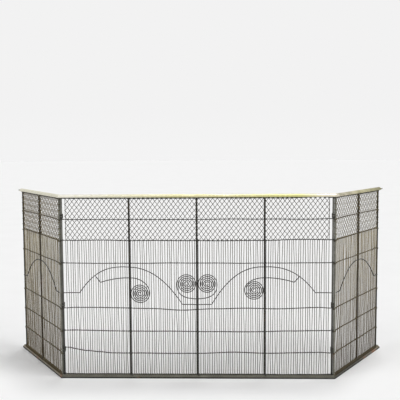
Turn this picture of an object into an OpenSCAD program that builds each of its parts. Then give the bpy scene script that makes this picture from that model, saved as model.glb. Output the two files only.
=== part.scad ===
// Folding wirework fire screen: a wide centre panel of four bays and two wings of two bays,
// each wing hinged at a corner so that it folds flat behind the centre panel.
// The viewer stands at -Y. X runs along the centre panel, Z is up and the floor is z = 0.
// The origin is the middle of the footprint, with both wings turned back as they stand.

/* [Screen] */
// Height from the floor to the crown of the brass rail
screen_h = 762; // [745:1:860]
// Angle that each wing is turned back from the line of the centre panel
wing_turn = 56; // [48:1:66]
// Width of each of the four centre bays, between the axes of its uprights
centre_bay_w = 276; // [255:1:310]
// Width of a wing's bay beside the hinge, between the axes of its uprights
wing_inner_w = 241; // [210:1:255]
// Width of a wing's outer bay, between the axes of its uprights
wing_outer_w = 230; // [195:1:240]
// Distance from the mitre point of a corner to the axis of the upright on each side of it
corner_inset = 6; // [6:0.5:12]

/* [Rails] */
// Width of the half-round brass rail, which is twice its height
rail_w = 24; // [22:0.5:27]
// Thickness of the brass
brass_t = 1.2; // [1:0.1:1.5]
// Length of brass rail past the axis of a wing's last upright
brass_overhang = 12; // [10:1:30]
// Thickness of the iron core bar inside the brass
core_t = 5; // [4:0.5:5.5]
// Length of core bar that shows past the end of the brass
core_stub = 25; // [4:1:30]
// Width of the iron bars that the wires are wrapped on, above and below
bar_w = 10; // [9.5:0.5:12]
// Height of the upper one, which stands partly inside the brass
top_bar_h = 3.5; // [3:0.5:6]
// Height of the lower one
base_bar_h = 4; // [4:0.5:7]
// Width of the iron base rail
base_w = 24; // [22:0.5:28]
// Height of the base rail
base_h = 9; // [8:0.5:12]
// Radius along the two upper edges of the base rail
base_round = 6; // [1:0.5:6]
// Length of base rail past the axis of a wing's last upright
base_overhang = 24; // [12:1:30]

/* [Uprights] */
// Diameter of the round iron uprights
upright_d = 8; // [6:0.5:8.5]
// Diameter of the tenon at each end of an upright
tenon_d = 4.5; // [3.5:0.5:5]
// Depth that the foot of a tenon lies above the floor
tenon_recess = 0.5; // [0.2:0.1:2]

/* [Wirework] */
// Diameter of the lattice wires and of the vertical wires
wire_d = 2.5; // [1.8:0.1:2.5]
// Spacing of the vertical wires, brought to a whole number of spaces in each bay, and of the
// lattice's columns, brought to a whole number across each panel
wire_pitch = 9.4; // [8.5:0.1:12]
// Distance from the axis of a corner upright to the centre panel's outermost wire
corner_gap = 16; // [13:0.5:20]
// Height of a twisted cross wire
row_h = 4; // [3.4:0.1:4.4]
// Height of each of the two bands of diamond lattice
lattice_band_h = 86; // [78:1:92]
// Height of half a diamond, brought to a whole number in each band
half_diamond_h = 12.3; // [10.5:0.1:14]
// Height of the lowest row of the plain field; the other rows share what is left
low_row_h = 89.5; // [80:0.5:100]

/* [Scrolls] */
// Diameter of the scroll wires
scroll_d = 3.5; // [2.2:0.1:3.6]
// Height of the wave's crests above the cross wire that the scrolls take the place of
wave_crest = 79; // [74:1:82]
// How far the left crest stands outside its upright; the right crest is on its upright
wave_left_shift = 20; // [0:1:30]
// Depth of the wave's low middle below that cross wire
wave_foot = 77; // [68:1:82]
// Depth of the wave's straight outer ends below that cross wire
wave_end = 28; // [20:1:36]
// Length of the wave's low straight on each side of the middle upright
wave_middle_l = 60; // [40:1:74]
// Length of the wave's straight outer end, from the axis of the corner upright
wave_end_l = 70; // [50:1:84]
// Diameter of a spiral
spiral_d = 80; // [66:1:82]
// Number of turns in a spiral
spiral_turns = 5; // [3:0.5:5]
// Gap between a spiral and the axis of the upright beside it
spiral_gap = 2; // [1.8:0.1:6]
// Depth of the left spiral's centre below the missing cross wire
left_spiral_drop = 31; // [20:1:36]
// Depth of the right spiral's centre below the missing cross wire
right_spiral_drop = 17; // [12:1:34]
// Height of the two middle spirals' centres above the missing cross wire
middle_spiral_rise = 8; // [0:1:12]
// Depth of the joined middle scroll's lowest point below the missing cross wire
middle_scroll_drop = 53; // [50:1:60]
// Height of an outer scroll's crest above the missing cross wire
scroll_crest = 34; // [26:1:40]
// Height of the dip of an outer scroll above the missing cross wire
scroll_dip = 15; // [8:1:20]
// Distance of that dip from the axis of the upright
scroll_dip_x = 120; // [100:1:126]
// Length of the hook from that dip to the wave
scroll_hook = 20; // [14:1:24]
// Height of a wing's arch above the missing cross wire
arch_crest = 73; // [60:1:80]
// Depth of its straight ends below the missing cross wire
arch_foot = 30; // [20:1:40]
// Length of the arch's straight end, from the axis of the upright at each side
arch_end_l = 45; // [20:1:60]

/* [Hinges] */
// Height of a hinge
hinge_h = 16; // [14:1:24]
// Diameter of the hinge pins
pin_d = 4; // [3:0.5:4.5]
// Wall of a knuckle round its pin
knuckle_wall = 1.6; // [1.2:0.1:2.2]
// Wall of a collar round its upright
collar_wall = 1.5; // [1:0.1:1.7]
// Thickness of the web between a collar and a knuckle
web_t = 3; // [2:0.5:4]
// Diameter of a pin's head
pin_head_d = 6.5; // [5.5:0.5:7]
// Height of a pin's head
pin_head_h = 1.4; // [1:0.1:2.2]
// Distance of a hinge above the cross wire that it stands over
hinge_row_gap = 3; // [2:1:10]

/* [Fits] */
// Gap between pieces that rest beside each other
seat_gap = 0.15; // [0.1:0.05:0.3]
// Radial clearance of a tenon or an upright in its hole
rivet_fit = 0.05; // [0.02:0.01:0.1]
// Radial clearance of a hinge pin
pin_fit = 0.05; // [0.02:0.01:0.1]
// Gap between the two mitred rail ends at a corner
mitre_gap = 0.3; // [0.2:0.1:0.6]
// Gap between one knuckle of a hinge and the next
knuckle_gap = 0.3; // [0.2:0.1:0.5]
// Distance of the hinge axis behind the back faces of the rails
fold_gap = 0.4; // [0.3:0.1:1]

/* [Hidden] */
$fn = 40;

// Counts that the named nodes fix
centre_bays = 4;
lattice_bands = 2;
field_rows = 6;
missing_row = 4;
tube_sides = 6;

// Rings along each stretch of a scroll wire
rings_per_turn = 20;
straight_steps = 6;
arch_steps = 22;
hook_steps = 6;
crest_steps = 12;
turn_steps = 9;
loop_steps = 10;

// Colours
brass_colour = [0.80, 0.72, 0.45];
iron_colour = [0.27, 0.26, 0.23];
wire_colour = [0.34, 0.33, 0.30];
scroll_colour = [0.24, 0.23, 0.20];

// Heights of the stack at the top: brass, core bar inside it, wrapping bar below it
rail_z = screen_h - rail_w / 2;
core_z = rail_z + brass_t;
top_bar_z = core_z - top_bar_h;
inner_r = rail_w / 2 - brass_t;
core_w = 2 * (sqrt(pow(inner_r, 2) - pow(brass_t + core_t, 2)) - seat_gap);
slot_w = bar_w + 2 * seat_gap;

// Heights of the cross wires
field_top = top_bar_z - seat_gap - row_h / 2 - lattice_bands * lattice_band_h;
field_foot = base_h + base_bar_h + seat_gap + row_h / 2;
field_pitch = (field_top - field_foot - low_row_h) / (field_rows - 1);
function row_z(i) = i == 0 ? field_foot : field_foot + low_row_h + (i - 1) * field_pitch;
function band_z(i) = field_top + i * lattice_band_h;
scroll_z = row_z(missing_row);

// Lengths of the panels
corner_x = centre_bays * centre_bay_w / 2 + corner_inset;
wing_mid_x = corner_inset + wing_inner_w;
wing_last_x = wing_mid_x + wing_outer_w;
brass_end = wing_last_x + brass_overhang;
base_end = wing_last_x + base_overhang;
function centre_upright_x(i) = (i - centre_bays / 2) * centre_bay_w;
wing_upright_x = [corner_inset, wing_mid_x, wing_last_x];

// Hinge axis, behind the inner corner of the rails
hinge_back = max(rail_w, base_w) / 2 + fold_gap;
hinge_x = corner_x - hinge_back * tan(wing_turn / 2);
hinge_reach = norm([corner_x - corner_inset - hinge_x, hinge_back]);
knuckle_d = pin_d + 2 * pin_fit + 2 * knuckle_wall;
collar_d = upright_d + 2 * rivet_fit + 2 * collar_wall;
knuckle_h = (hinge_h - 2 * knuckle_gap) / 3;
hinge_zs = [for (z = [row_z(1), row_z(3), band_z(1)]) z + row_h / 2 + hinge_row_gap];

// Layers of the wirework, from the middle plane of a panel
layer_y = wire_d / 2 + seat_gap;
row_d = 2 * (layer_y + wire_d / 2 + seat_gap);
scroll_y = wire_d / 2 + seat_gap + scroll_d / 2;
scroll_over_y = upright_d / 2 + seat_gap + scroll_d / 2;
over_flat = upright_d / 2 + scroll_d;
over_ramp = 16;

// Depth that wires end inside a cross wire, so that a lattice wire and a vertical wire never meet
lattice_bury = row_h / 4;
field_bury = row_h / 8;
function half_diamonds() = round(lattice_band_h / half_diamond_h);

// Depth of the footprint: its front is a rail's face and its back is the end of a wing
front_y = -max(rail_w, base_w) / 2;
function wing_back(x, y) = x * sin(wing_turn) + y * cos(wing_turn);
back_y = max(
    wing_back(brass_end + core_stub, core_w / 2),
    wing_back(brass_end, rail_w / 2),
    wing_back(base_end, base_w / 2)
);
origin_y = (front_y + back_y) / 2;

echo(corner_x = corner_x, hinge_x = hinge_x, hinge_y = hinge_back - origin_y, origin_y = origin_y);
echo(field_top = field_top, field_pitch = field_pitch, scroll_z = scroll_z, hinge_zs = hinge_zs);

// Places

module centre_place() translate([0, -origin_y, 0]) children();

// A wing's own frame: x from the mitre point along the wing, -y its outer face
module right_place() centre_place() translate([corner_x, 0, 0]) rotate([0, 0, wing_turn]) children();

module left_place() mirror([1, 0, 0]) right_place() children();

// Corner cuts: what lies past the mitre plane, seen from the centre panel and from a wing

cut_size = 4 * max(rail_w, base_w);

module past_centre_mitre() {
    translate([corner_x, 0, 0]) rotate([0, 0, wing_turn / 2])
        translate([-mitre_gap / 2, -cut_size / 2, -1]) cube([cut_size, cut_size, screen_h + 2]);
}

module past_wing_mitre() {
    rotate([0, 0, -wing_turn / 2])
        translate([mitre_gap / 2 - cut_size, -cut_size / 2, -1])
        cube([cut_size, cut_size, screen_h + 2]);
}

// Section extruded along the panel, from x = 0
module along(length) rotate([90, 0, 90]) linear_extrude(height = length) children();

module mitred_centre() {
    difference() {
        translate([-corner_x - rail_w, 0, 0]) along(2 * (corner_x + rail_w)) children();
        past_centre_mitre();
        mirror([1, 0, 0]) past_centre_mitre();
    }
}

module mitred_wing(end_x) {
    difference() {
        translate([-rail_w, 0, 0]) along(end_x + rail_w) children();
        past_wing_mitre();
    }
}

// Sections, drawn with x across the panel and y up

module brass_section() {
    difference() {
        intersection() {
            translate([0, rail_z]) circle(d = rail_w);
            translate([-rail_w, rail_z]) square([2 * rail_w, rail_w]);
        }
        intersection() {
            translate([0, rail_z]) circle(r = inner_r);
            translate([-rail_w, core_z]) square([2 * rail_w, rail_w]);
        }
        translate([-slot_w / 2, rail_z - 1]) square([slot_w, brass_t + 2]);
    }
}

module core_section() translate([-core_w / 2, core_z]) square([core_w, core_t]);

module bar_section(z, h) translate([-bar_w / 2, z]) square([bar_w, h]);

module base_section() intersection() {
    flat_w = base_w - 2 * base_round;
    union() {
        translate([-base_w / 2, 0]) square([base_w, base_h - base_round]);
        translate([-flat_w / 2, 0]) square([flat_w, base_h]);
        for (side = [-1, 1])
            translate([side * flat_w / 2, base_h - base_round]) circle(r = base_round);
    }
    translate([-base_w / 2, 0]) square([base_w, base_h]);
}

// Row of tenon holes at the given distances along a panel
module tenon_holes(xs, z, h) {
    for (x = xs) translate([x, 0, z - 1]) cylinder(d = tenon_d + 2 * rivet_fit, h = h + 2);
}

centre_xs = [for (i = [0 : centre_bays]) centre_upright_x(i)];

// Rails and bars of the centre panel

module centre_brass_rail() color(brass_colour) centre_place() mitred_centre() brass_section();

module centre_core_bar() color(iron_colour) centre_place() difference() {
    mitred_centre() core_section();
    tenon_holes(centre_xs, core_z, core_t);
}

module centre_top_bar() color(iron_colour) centre_place() difference() {
    mitred_centre() bar_section(top_bar_z, top_bar_h);
    tenon_holes(centre_xs, top_bar_z, top_bar_h);
}

module centre_base_bar() color(iron_colour) centre_place() difference() {
    mitred_centre() bar_section(base_h, base_bar_h);
    tenon_holes(centre_xs, base_h, base_bar_h);
}

module centre_base_rail() color(iron_colour) centre_place() difference() {
    mitred_centre() base_section();
    tenon_holes(centre_xs, 0, base_h);
}

// Rails and bars of a wing, in its own frame

module wing_brass_rail() color(brass_colour) mitred_wing(brass_end) brass_section();

module wing_core_bar() color(iron_colour) difference() {
    mitred_wing(brass_end + core_stub) core_section();
    tenon_holes(wing_upright_x, core_z, core_t);
}

module wing_top_bar() color(iron_colour) difference() {
    mitred_wing(brass_end) bar_section(top_bar_z, top_bar_h);
    tenon_holes(wing_upright_x, top_bar_z, top_bar_h);
}

module wing_base_bar() color(iron_colour) difference() {
    mitred_wing(base_end) bar_section(base_h, base_bar_h);
    tenon_holes(wing_upright_x, base_h, base_bar_h);
}

module wing_base_rail() color(iron_colour) difference() {
    mitred_wing(base_end) base_section();
    tenon_holes(wing_upright_x, 0, base_h);
}

// Round upright between the two bars, with a tenon through bar and rail at each end
module upright(x) {
    foot_z = base_h + base_bar_h;
    head_z = core_z + core_t - tenon_recess;
    color(iron_colour) translate([x, 0, 0]) {
        translate([0, 0, foot_z]) cylinder(d = upright_d, h = top_bar_z - foot_z);
        translate([0, 0, tenon_recess]) cylinder(d = tenon_d, h = head_z - tenon_recess);
    }
}

// Wirework between two uprights of a panel, whose axes are at x = a and x = b. The lattice keeps
// one grid of columns right across its panel, [x of a column, pitch], and stops short of uprights.

function grid(first, last) = [first, (last - first) / round((last - first) / wire_pitch)];
centre_grid = grid(centre_xs[0] + corner_gap, centre_xs[centre_bays] - corner_gap);
wing_grid = grid(wing_upright_x[0], wing_last_x);

upright_edge = upright_d / 2 + seat_gap;
beside_upright = upright_edge + wire_d / 2;
beside_collar = collar_d / 2 + seat_gap + wire_d / 2;
beside_selvedge = corner_gap + seat_gap + wire_d;

module cross_wire(a, b, z) {
    translate([a + upright_edge, -row_d / 2, z - row_h / 2]) cube([b - a - 2 * upright_edge, row_d, row_h]);
}

module slanted_wire(x0, z0, x1, z1, y) {
    translate([x0, y, z0]) rotate([0, atan2(x1 - x0, z1 - z0), 0])
        cylinder(d = wire_d, h = norm([x1 - x0, z1 - z0]));
}

module lattice_band(columns, z, start, lo, hi) {
    z0 = z + lattice_bury;
    z1 = z + lattice_band_h - lattice_bury;
    pitch = columns[1];
    run = half_diamonds() * pitch;
    first = floor((lo - run - columns[0]) / (2 * pitch));
    last = ceil((hi + run - columns[0]) / (2 * pitch));
    for (k = [first : last], side = [-1, 1]) {
        x0 = columns[0] + (2 * k + start) * pitch;
        from = max(0, side > 0 ? (lo - x0) / run : (x0 - hi) / run);
        to = min(1, side > 0 ? (hi - x0) / run : (x0 - lo) / run);
        if ((to - from) * lattice_band_h > row_h)
            slanted_wire(
                x0 + side * run * from, z0 + (z1 - z0) * from,
                x0 + side * run * to, z0 + (z1 - z0) * to,
                side * layer_y
            );
    }
}

module vertical_wire(x, top_z) translate([x, 0, field_foot]) cylinder(d = wire_d, h = top_z - field_foot);

// start and end are the distances of the outermost vertical wires from the two uprights, and the
// lattice keeps start_clear and end_clear from them. A selvedge wire reaches the top of the lattice.
module bay_wirework(a, b, columns, start, end, start_clear, end_clear, start_selvedge, end_selvedge) {
    first = a + start;
    spaces = round((b - end - first) / wire_pitch);
    pitch = (b - end - first) / spaces;
    color(wire_colour) {
        for (i = [0 : field_rows]) if (i != missing_row) cross_wire(a, b, row_z(i));
        for (i = [1 : lattice_bands]) cross_wire(a, b, band_z(i));
        for (i = [0 : spaces])
            if ((i == 0 && start_selvedge) || (i == spaces && end_selvedge))
                vertical_wire(first + i * pitch, band_z(lattice_bands));
            else
                vertical_wire(first + i * pitch, field_top - field_bury);
        for (i = [0 : lattice_bands - 1])
            lattice_band(
                columns, band_z(i), (i * half_diamonds()) % 2, a + start_clear, b - end_clear
            );
    }
}

// A wire stands beside each inner upright of the centre panel, on its right, and the next wire
// stands one pitch to its left. Beside the corner uprights is a wider gap with a selvedge wire.
module centre_wirework(i) {
    at_start = i == 0;
    at_end = i == centre_bays - 1;
    bay_wirework(
        centre_xs[i], centre_xs[i + 1], centre_grid,
        at_start ? corner_gap : beside_upright, at_end ? corner_gap : wire_pitch,
        at_start ? beside_selvedge : beside_upright, at_end ? beside_selvedge : beside_upright,
        at_start, at_end
    );
}

// The lattice of a wing's inner bay stays clear of the hinge collars
module wing_wirework(i) {
    bay_wirework(
        wing_upright_x[i], wing_upright_x[i + 1], wing_grid,
        i == 0 ? wire_pitch : beside_upright, wire_pitch,
        i == 0 ? beside_collar : beside_upright, beside_upright,
        false, false
    );
}

// Scroll wires: tubes swept along points [x, y, z] in the frame of their panel

function unit(v) = v / norm(v);
function tangent(path, i) = unit(path[min(i + 1, len(path) - 1)] - path[max(i - 1, 0)]);
function ring(centre, dir, d) =
    let (a = unit(cross(dir, [0, 1, 0])), b = cross(a, dir))
    [for (k = [0 : tube_sides - 1])
        centre + d / 2 * (cos(360 * k / tube_sides) * a + sin(360 * k / tube_sides) * b)];
function ring_faces(i) =
    [for (k = [0 : tube_sides - 1])
        let (a = i * tube_sides + k, b = i * tube_sides + (k + 1) % tube_sides)
        each [[a, b, a + tube_sides], [b, b + tube_sides, a + tube_sides]]];
function cap_faces(first, flip) =
    [for (k = [1 : tube_sides - 2])
        flip ? [first, first + k + 1, first + k] : [first, first + k, first + k + 1]];

module tube(path, d) {
    last = len(path) - 1;
    polyhedron(
        points = [for (i = [0 : last]) each ring(path[i], tangent(path, i), d)],
        faces = [
            each cap_faces(0, true),
            for (i = [0 : last - 1]) each ring_faces(i),
            each cap_faces(last * tube_sides, false)
        ]
    );
}

// Smallest gap between turns that are at least the given number of rings apart
function self_gap(path, d, apart) =
    min([for (i = [0 : len(path) - 1 - apart], j = [i + apart : len(path) - 1])
        norm(path[i] - path[j])]) - d;

// A scroll wire lies on the vertical wires and rides over the uprights at the given places
function over(dx) =
    dx < over_flat ? 1 : dx > over_flat + over_ramp ? 0 : (1 + cos(180 * (dx - over_flat) / over_ramp)) / 2;
function lift(x, posts) =
    -scroll_y - (scroll_over_y - scroll_y) * max([for (post = posts) over(abs(x - post))]);
function laid(flat_path, posts) = [for (p = flat_path) [p[0], lift(p[0], posts), scroll_z + p[1]]];

// Flat paths mirrored, moved sideways, and read backwards without their first point
function mirrored(path) = [for (p = path) [-p[0], p[1]]];
function shifted(path, x) = [for (p = path) [p[0] + x, p[1]]];
function half_reversed(path) = [for (i = [len(path) - 1 : -1 : 1]) path[i]];

// Arch from its crest (u = 0) to its foot (u = 1)
function arch(u, power) = 1 - pow(abs(u), power);
inner_power = 2.35;
outer_power = 2.6;
wing_power = 2.2;
loop_power = 2.6;

// Half of the wave, from the middle of the panel to the corner upright, as [x, z], with its crest
// the given shift outside the inner upright
inner_reach = centre_bay_w - wave_middle_l;
outer_reach = centre_bay_w - wave_end_l;
wave_stop = 2 * centre_bay_w - upright_d / 2 - seat_gap;
function wave_outer_z(dx, shift) =
    (wave_crest + wave_end) * arch((dx - shift) / (outer_reach - shift), outer_power) - wave_end;
function half_wave(shift) = [
    for (i = [0 : straight_steps - 1]) [wave_middle_l * i / straight_steps, -wave_foot],
    for (i = [0 : arch_steps - 1]) let (u = 1 - i / arch_steps)
        [centre_bay_w + shift - (inner_reach + shift) * u,
            (wave_crest + wave_foot) * arch(u, inner_power) - wave_foot],
    for (i = [0 : arch_steps]) let (dx = shift + (outer_reach - shift) * i / arch_steps)
        [centre_bay_w + dx, wave_outer_z(dx, shift)],
    [wave_stop, -wave_end]
];
wave_path = [each half_reversed(mirrored(half_wave(wave_left_shift))), each half_wave(0)];

// Spiral that starts at the given angle and winds inwards, dir = 1 for anticlockwise
spiral_core_r = scroll_d;
function spiral(centre, start, dir) =
    let (steps = spiral_turns * rings_per_turn, r0 = spiral_d / 2)
    [for (i = [0 : steps])
        let (a = start + dir * 360 * i / rings_per_turn, r = r0 - (r0 - spiral_core_r) * i / steps)
        centre + r * [cos(a), sin(a)]];

// Outer scroll beside an upright at x = 0, with its spiral on the -x side
spiral_x = spiral_d / 2 + spiral_gap;
hook_x = scroll_dip_x + scroll_hook;
hook_seat = 0.8 * scroll_d;
function hook_slope(shift) = atan(wave_outer_z(hook_x, shift) - wave_outer_z(hook_x - 1, shift));
function hook_z(shift) = wave_outer_z(hook_x, shift) - (hook_seat + seat_gap) / cos(hook_slope(shift));
function outer_scroll(drop, shift) = [
    for (i = [0 : hook_steps - 1]) let (t = 1 - i / hook_steps)
        [scroll_dip_x + scroll_hook * t, scroll_dip + (hook_z(shift) - scroll_dip) * t],
    for (i = [0 : crest_steps - 1]) let (u = 1 - i / crest_steps)
        [scroll_dip_x * u, scroll_crest - (scroll_crest - scroll_dip) * u * u],
    for (i = [0 : turn_steps - 1]) let (t = 90 * i / turn_steps)
        [-(spiral_d + spiral_gap) * sin(t), (scroll_crest + drop) * cos(t) - drop],
    each spiral([-spiral_x, -drop], 180, 1)
];

left_scroll = shifted(mirrored(outer_scroll(left_spiral_drop, wave_left_shift)), -centre_bay_w);
right_scroll = shifted(outer_scroll(right_spiral_drop, 0), centre_bay_w);

// The two middle spirals are one wire, joined by a shallow loop below them
loop_r = spiral_x + spiral_d / 2;
middle_spiral = spiral([spiral_x, middle_spiral_rise], 0, 1);
loop_half = [
    for (i = [0 : loop_steps - 1]) let (t = 90 * i / loop_steps)
        [loop_r * pow(sin(t), 2 / loop_power),
            middle_spiral_rise - (middle_spiral_rise + middle_scroll_drop) * pow(cos(t), 2 / loop_power)]
];
middle_half = [each loop_half, each middle_spiral];
middle_scroll = [each half_reversed(mirrored(middle_half)), each middle_half];

// Arch of a wing, in the wing's frame
arch_mid_x = (corner_inset + wing_last_x) / 2;
arch_reach = arch_mid_x - corner_inset - arch_end_l;
arch_stop = arch_mid_x - corner_inset - upright_d / 2 - seat_gap;
wing_arch = [
    [arch_mid_x - arch_stop, -arch_foot],
    for (i = [-arch_steps : arch_steps]) let (u = i / arch_steps)
        [arch_mid_x + arch_reach * u, (arch_crest + arch_foot) * arch(u, wing_power) - arch_foot],
    [arch_mid_x + arch_stop, -arch_foot]
];

echo(left_scroll_gap = self_gap(left_scroll, scroll_d, rings_per_turn / 2));
echo(right_scroll_gap = self_gap(right_scroll, scroll_d, rings_per_turn / 2));
echo(middle_scroll_gap = self_gap(middle_scroll, scroll_d, rings_per_turn / 2));

module centre_scroll(path) color(scroll_colour) centre_place() tube(laid(path, centre_xs), scroll_d);

module wing_arch_wire() color(scroll_colour) tube(laid(wing_arch, wing_upright_x), scroll_d);

// Hinges, drawn at the right corner. A fork is two links on the centre panel's last upright, with
// the eye, one link on the wing's first upright, between them. A pin joins the three.

centre_post = [corner_x - corner_inset, 0];
wing_post = [corner_x + corner_inset * cos(wing_turn), corner_inset * sin(wing_turn)];
hinge_at = [hinge_x, hinge_back];

// Links at the given heights, each a ring round an upright and a ring round the hinge axis on one
// web, drawn with x from the upright to the axis
module hinge_links(post, link_zs) {
    to_axis = hinge_at - post;
    translate(post) rotate([0, 0, atan2(to_axis[1], to_axis[0])]) difference() {
        for (z = link_zs) translate([0, 0, z]) {
            rotate([0, 0, 180]) cylinder(d = collar_d, h = knuckle_h);
            translate([hinge_reach, 0, 0]) cylinder(d = knuckle_d, h = knuckle_h);
            translate([0, -web_t / 2, 0]) cube([hinge_reach, web_t, knuckle_h]);
        }
        translate([0, 0, -1]) rotate([0, 0, 180])
            cylinder(d = upright_d + 2 * rivet_fit, h = hinge_h + 2);
        translate([hinge_reach, 0, -1]) cylinder(d = pin_d + 2 * pin_fit, h = hinge_h + 2);
    }
}

module hinge_forks() {
    color(iron_colour) centre_place() for (z = hinge_zs) translate([0, 0, z])
        hinge_links(centre_post, [0, hinge_h - knuckle_h]);
}

module hinge_eyes() {
    color(iron_colour) centre_place() for (z = hinge_zs) translate([0, 0, z])
        hinge_links(wing_post, [(hinge_h - knuckle_h) / 2]);
}

module hinge_pins() {
    color(scroll_colour) centre_place() for (z = hinge_zs)
        translate([hinge_at[0], hinge_at[1], z]) {
            translate([0, 0, -pin_head_h]) cylinder(d = pin_d, h = hinge_h + 2 * pin_head_h);
            translate([0, 0, hinge_h]) cylinder(d = pin_head_d, h = pin_head_h);
        }
}

// Nodes

centre_brass_rail();
centre_core_bar();
centre_top_bar();
centre_base_bar();
centre_base_rail();

for (i = [0 : centre_bays])
    centre_place() upright(centre_upright_x(i));
for (i = [0 : centre_bays - 1])
    centre_place() centre_wirework(i);

centre_scroll(wave_path);  // wave_wire
centre_scroll(left_scroll);  // left_scroll_wire
centre_scroll(middle_scroll);  // middle_scroll_wire
centre_scroll(right_scroll);  // right_scroll_wire

left_place() wing_brass_rail();  // left_brass_rail
left_place() wing_core_bar();  // left_core_bar
left_place() wing_top_bar();  // left_top_bar
left_place() wing_base_bar();  // left_base_bar
left_place() wing_base_rail();  // left_base_rail
for (i = [0 : 2])
    left_place() upright(wing_upright_x[i]);
left_place() wing_wirework(0);  // left_wirework_inner
left_place() wing_wirework(1);  // left_wirework_outer
left_place() wing_arch_wire();  // left_arch_wire

right_place() wing_brass_rail();  // right_brass_rail
right_place() wing_core_bar();  // right_core_bar
right_place() wing_top_bar();  // right_top_bar
right_place() wing_base_bar();  // right_base_bar
right_place() wing_base_rail();  // right_base_rail
for (i = [0 : 2])
    right_place() upright(wing_upright_x[i]);
right_place() wing_wirework(0);  // right_wirework_inner
right_place() wing_wirework(1);  // right_wirework_outer
right_place() wing_arch_wire();  // right_arch_wire

mirror([1, 0, 0]) hinge_forks();  // left_hinge_forks
mirror([1, 0, 0]) hinge_eyes();  // left_hinge_eyes
mirror([1, 0, 0]) hinge_pins();  // left_hinge_pins
hinge_forks();  // right_hinge_forks
hinge_eyes();  // right_hinge_eyes
hinge_pins();  // right_hinge_pins
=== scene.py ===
"""Folding wirework fire screen with a brass top rail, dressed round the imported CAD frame.

The rails, bars, uprights and hinges are the CAD nodes with aged brass and iron. The wirework and
the scrolls, which the CAD keeps plain, are made again here from round wires: verticals, twisted
cross wires, two bands of woven diamonds, wraps round the upper bar, and the scrolls, wave and
arches that lie on the mesh.
"""

import math

import bpy
import numpy as np
from mathutils import Matrix, Vector


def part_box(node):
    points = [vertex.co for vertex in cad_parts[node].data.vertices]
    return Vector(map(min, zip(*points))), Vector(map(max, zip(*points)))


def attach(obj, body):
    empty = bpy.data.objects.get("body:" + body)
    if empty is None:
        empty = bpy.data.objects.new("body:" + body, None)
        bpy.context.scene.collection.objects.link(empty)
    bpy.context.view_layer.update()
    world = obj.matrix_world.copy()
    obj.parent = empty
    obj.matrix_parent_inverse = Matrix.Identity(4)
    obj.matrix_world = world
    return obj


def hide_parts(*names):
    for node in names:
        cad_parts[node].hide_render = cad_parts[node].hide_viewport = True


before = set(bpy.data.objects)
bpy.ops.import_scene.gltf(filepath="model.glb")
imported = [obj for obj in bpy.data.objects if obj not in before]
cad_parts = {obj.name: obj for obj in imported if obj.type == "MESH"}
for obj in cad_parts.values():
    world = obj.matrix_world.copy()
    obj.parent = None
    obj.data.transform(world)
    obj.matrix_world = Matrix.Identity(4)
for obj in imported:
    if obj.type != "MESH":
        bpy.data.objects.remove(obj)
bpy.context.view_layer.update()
bpy.context.scene.view_settings.view_transform = "Standard"

# Metres in a millimetre
MM = 0.001

# Driving sizes in millimetres, as in part.scad, where R is a radius, W a width, H a height and T a
# thickness. Rows are cross wires, counted from 0 at the foot: one is missing, where the scrolls
# are, and the hinges stand over three.
WING_TURN = math.radians(56)
SCREEN_H = 762.0
CENTRE_BAY_W = 276.0
WING_INNER_W = 241.0
WING_OUTER_W = 230.0
CORNER_INSET = 6.0
RAIL_W = 24.0
BRASS_T = 1.2
BAR_W = 10.0
TOP_BAR_H = 3.5
BASE_BAR_H = 4.0
BASE_H = 9.0
UPRIGHT_R = 4.0
WIRE_R = 1.25
WIRE_PITCH = 9.4
CORNER_GAP = 16.0
ROW_HALF = 2.0
BAND_H = 86.0
BAND_HALVES = 7
LOW_ROW_H = 89.5
FIELD_ROWS = 6
MISSING_ROW = 4
HINGE_H = 16.0
HINGE_ROW_GAP = 3.0
HINGE_ROWS = (1, 3, 7)
COLLAR_R = 5.55
SCROLL_R = 1.75
SEAT_GAP = 0.15

# Radii of the lattice wires by panel, of a cross wire's strand and of its coiled end
LATTICE_R = {"centre": 1.12, "left": 1.13, "right": 1.02}
STRAND_R = 1.25
COIL_R = 1.05

# Clearances between round wires, and round an upright
COIL_GAP = 0.05
WIRE_GAP = 0.1
POST_GAP = 0.2

# Two places as near as this are one
SAME_PLACE = 0.01

# Places along a panel that follow from the sizes. A wire beside an upright stands this far from
# its axis, and any wire that is near it is one of those.
CORNER_X = 2 * CENTRE_BAY_W + CORNER_INSET
WING_MIDDLE_X = CORNER_INSET + WING_INNER_W
POSTS = {
    "centre": [k * CENTRE_BAY_W for k in (-2, -1, 0, 1, 2)],
    "wing": [CORNER_INSET, WING_MIDDLE_X, WING_MIDDLE_X + WING_OUTER_W],
}
BESIDE_UPRIGHT = UPRIGHT_R + SEAT_GAP + WIRE_R
NEAR_UPRIGHT = 1.2 * BESIDE_UPRIGHT

# Heights that follow from them
BASE_BAR_TOP = BASE_H + BASE_BAR_H
BRASS_FLAT_Z = SCREEN_H - RAIL_W / 2
TOP_BAR_FOOT = BRASS_FLAT_Z + BRASS_T - TOP_BAR_H
FIELD_FOOT = BASE_BAR_TOP + SEAT_GAP + ROW_HALF
FIELD_TOP = TOP_BAR_FOOT - SEAT_GAP - ROW_HALF - 2 * BAND_H

# Heights of the cross wires: the lowest, those of the plain field and those of the two bands
ROW_ZS = [
    FIELD_FOOT,
    *np.linspace(FIELD_FOOT + LOW_ROW_H, FIELD_TOP, FIELD_ROWS),
    FIELD_TOP + BAND_H,
    FIELD_TOP + 2 * BAND_H,
]
SCROLL_Z = ROW_ZS[MISSING_ROW]
HINGE_ZS = [ROW_ZS[row] + ROW_HALF + HINGE_ROW_GAP for row in HINGE_ROWS]

# Distance from the centre panel's plane, where its uprights' axes are, back to the origin
MIDDLE_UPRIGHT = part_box("centre_upright_3")
ORIGIN_Y = -(MIDDLE_UPRIGHT[0][1] + MIDDLE_UPRIGHT[1][1]) / 2 / MM

rng = np.random.default_rng(31)


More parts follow.
